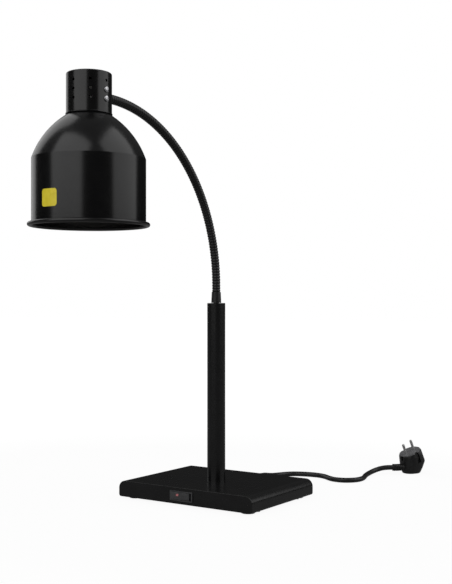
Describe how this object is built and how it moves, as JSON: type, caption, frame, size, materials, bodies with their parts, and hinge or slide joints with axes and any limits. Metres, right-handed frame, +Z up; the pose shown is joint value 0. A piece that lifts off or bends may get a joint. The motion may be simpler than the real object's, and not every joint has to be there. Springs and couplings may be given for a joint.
{
  "type": "food heat lamp",
  "caption": "Black countertop food warmer: flat weighted base with a rocker switch, upright post, ribbed bending neck and domed metal shade over a reflector heat bulb, with mains cord and plug.",
  "frame": {"origin": "on the floor under the middle of the lamp's box, without its cord and plug", "axes": "+Z up, the switch and the shade towards -Y, the cord leaves at +Y"},
  "size_m": [0.327, 0.8328, 0.6457],
  "materials": {
    "black_powder_coat": "satin",
    "black_spun_aluminium": "satin",
    "black_neck_hose": "satin",
    "bare_steel": "satin",
    "chrome_screw": "polished",
    "black_rubber": "matte",
    "black_plastic": "satin",
    "grey_plastic": "matte",
    "red_lens": "gloss",
    "white_ceramic": "gloss",
    "brass_parts": "satin",
    "lamp_glass": "gloss",
    "yellow_label": "satin",
    "wire_cover": "matte",
    "white_plastic": "matte"
  },
  "bodies": {
    "base": {"base_shell": "black_powder_coat", "bottom_plate": "bare_steel", "ballast_plate": "bare_steel", "bottom_screws": "bare_steel", "rubber_feet": "black_rubber", "switch_housing": "black_plastic", "switch_terminals": "bare_steel", "terminal_block": "white_plastic", "base_wires": "wire_cover", "cord_tail": "black_rubber", "cord_clamp": "black_plastic", "mains_gland": "black_plastic", "gland_nut": "black_plastic", "post_tube": "black_powder_coat", "post_top_plug": "black_powder_coat", "post_bottom_plug": "bare_steel", "post_stud": "bare_steel", "post_nut": "bare_steel", "post_lead": "black_rubber", "mains_cord": "black_rubber", "plug_body": "black_plastic", "plug_face": "grey_plastic", "plug_pins": "bare_steel", "plug_earth_clips": "bare_steel"},
    "rocker": {"switch_rocker": "black_plastic", "switch_lens": "red_lens"},
    "neck_root": {"neck_stub": "black_neck_hose", "neck_tail_nut": "bare_steel", "neck_sleeve": "black_rubber"},
    "knuckle_01": {"neck_segment_01": "black_neck_hose"},
    "knuckle_02": {"neck_segment_02": "black_neck_hose"},
    "knuckle_03": {"neck_segment_03": "black_neck_hose"},
    "knuckle_04": {"neck_segment_04": "black_neck_hose"},
    "knuckle_05": {"neck_segment_05": "black_neck_hose"},
    "knuckle_06": {"neck_segment_06": "black_neck_hose"},
    "knuckle_07": {"neck_segment_07": "black_neck_hose"},
    "knuckle_08": {"neck_segment_08": "black_neck_hose"},
    "knuckle_09": {"neck_segment_09": "black_neck_hose"},
    "knuckle_10": {"neck_segment_10": "black_neck_hose"},
    "knuckle_11": {"neck_segment_11": "black_neck_hose"},
    "knuckle_12": {"neck_segment_12": "black_neck_hose"},
    "knuckle_13": {"neck_segment_13": "black_neck_hose"},
    "knuckle_14": {"neck_segment_14": "black_neck_hose"},
    "knuckle_15": {"neck_segment_15": "black_neck_hose"},
    "head": {"neck_end_fitting": "black_neck_hose", "neck_lock_nut": "bare_steel", "cap": "black_spun_aluminium", "cap_screws": "chrome_screw", "shade": "black_spun_aluminium", "blank_label": "yellow_label", "lampholder_bracket": "bare_steel", "lampholder_body": "white_ceramic", "lampholder_shell": "brass_parts", "lampholder_contact": "brass_parts", "head_screws": "bare_steel", "head_nuts": "bare_steel", "head_wires": "wire_cover", "bulb_glass": "lamp_glass", "bulb_base": "brass_parts", "bulb_stem": "lamp_glass"}
  },
  "joints": [
    {"name": "switch_tip", "type": "hinge", "parent": "base", "child": "rocker", "pos_m": [-0.002, 0.06215, 0.0166], "axis": [0, 0, 1], "range_deg": [-14, 0]},
    {"name": "neck_swing", "type": "hinge", "parent": "base", "child": "neck_root", "pos_m": [0, 0.15315, 0.3237], "axis": [0, 0, 1], "range_deg": [-60, 60]},
    {"name": "neck_bend_01", "type": "hinge", "parent": "neck_root", "child": "knuckle_01", "pos_m": [0, 0.15315, 0.3507], "axis": [1, 0, 0], "range_deg": [-3, 2]},
    {"name": "neck_bend_02", "type": "hinge", "parent": "knuckle_01", "child": "knuckle_02", "pos_m": [0, 0.15169, 0.37861], "axis": [1, 0, 0], "range_deg": [-6, 4]},
    {"name": "neck_bend_03", "type": "hinge", "parent": "knuckle_02", "child": "knuckle_03", "pos_m": [0, 0.14732, 0.40621], "axis": [1, 0, 0], "range_deg": [-6, 4]},
    {"name": "neck_bend_04", "type": "hinge", "parent": "knuckle_03", "child": "knuckle_04", "pos_m": [0, 0.14008, 0.43321], "axis": [1, 0, 0], "range_deg": [-6, 4]},
    {"name": "neck_bend_05", "type": "hinge", "parent": "knuckle_04", "child": "knuckle_05", "pos_m": [0, 0.13007, 0.4593], "axis": [1, 0, 0], "range_deg": [-6, 4]},
    {"name": "neck_bend_06", "type": "hinge", "parent": "knuckle_05", "child": "knuckle_06", "pos_m": [0, 0.11738, 0.4842], "axis": [1, 0, 0], "range_deg": [-6, 4]},
    {"name": "neck_bend_07", "type": "hinge", "parent": "knuckle_06", "child": "knuckle_07", "pos_m": [0, 0.10216, 0.50764], "axis": [1, 0, 0], "range_deg": [-6, 4]},
    {"name": "neck_bend_08", "type": "hinge", "parent": "knuckle_07", "child": "knuckle_08", "pos_m": [0, 0.08457, 0.52936], "axis": [1, 0, 0], "range_deg": [-6, 4]},
    {"name": "neck_bend_09", "type": "hinge", "parent": "knuckle_08", "child": "knuckle_09", "pos_m": [0, 0.06481, 0.54912], "axis": [1, 0, 0], "range_deg": [-6, 4]},
    {"name": "neck_bend_10", "type": "hinge", "parent": "knuckle_09", "child": "knuckle_10", "pos_m": [0, 0.04309, 0.56671], "axis": [1, 0, 0], "range_deg": [-6, 4]},
    {"name": "neck_bend_11", "type": "hinge", "parent": "knuckle_10", "child": "knuckle_11", "pos_m": [0, 0.01965, 0.58193], "axis": [1, 0, 0], "range_deg": [-6, 4]},
    {"name": "neck_bend_12", "type": "hinge", "parent": "knuckle_11", "child": "knuckle_12", "pos_m": [0, -0.00525, 0.59462], "axis": [1, 0, 0], "range_deg": [-6, 4]},
    {"name": "neck_bend_13", "type": "hinge", "parent": "knuckle_12", "child": "knuckle_13", "pos_m": [0, -0.03134, 0.60463], "axis": [1, 0, 0], "range_deg": [-6, 4]},
    {"name": "neck_bend_14", "type": "hinge", "parent": "knuckle_13", "child": "knuckle_14", "pos_m": [0, -0.05834, 0.61186], "axis": [1, 0, 0], "range_deg": [-6, 4]},
    {"name": "neck_bend_15", "type": "hinge", "parent": "knuckle_14", "child": "knuckle_15", "pos_m": [0, -0.08594, 0.61624], "axis": [1, 0, 0], "range_deg": [-6, 4]},
    {"name": "neck_bend_16", "type": "hinge", "parent": "knuckle_15", "child": "head", "pos_m": [0, -0.11385, 0.6177], "axis": [1, 0, 0], "range_deg": [-3, 2]}
  ]
}
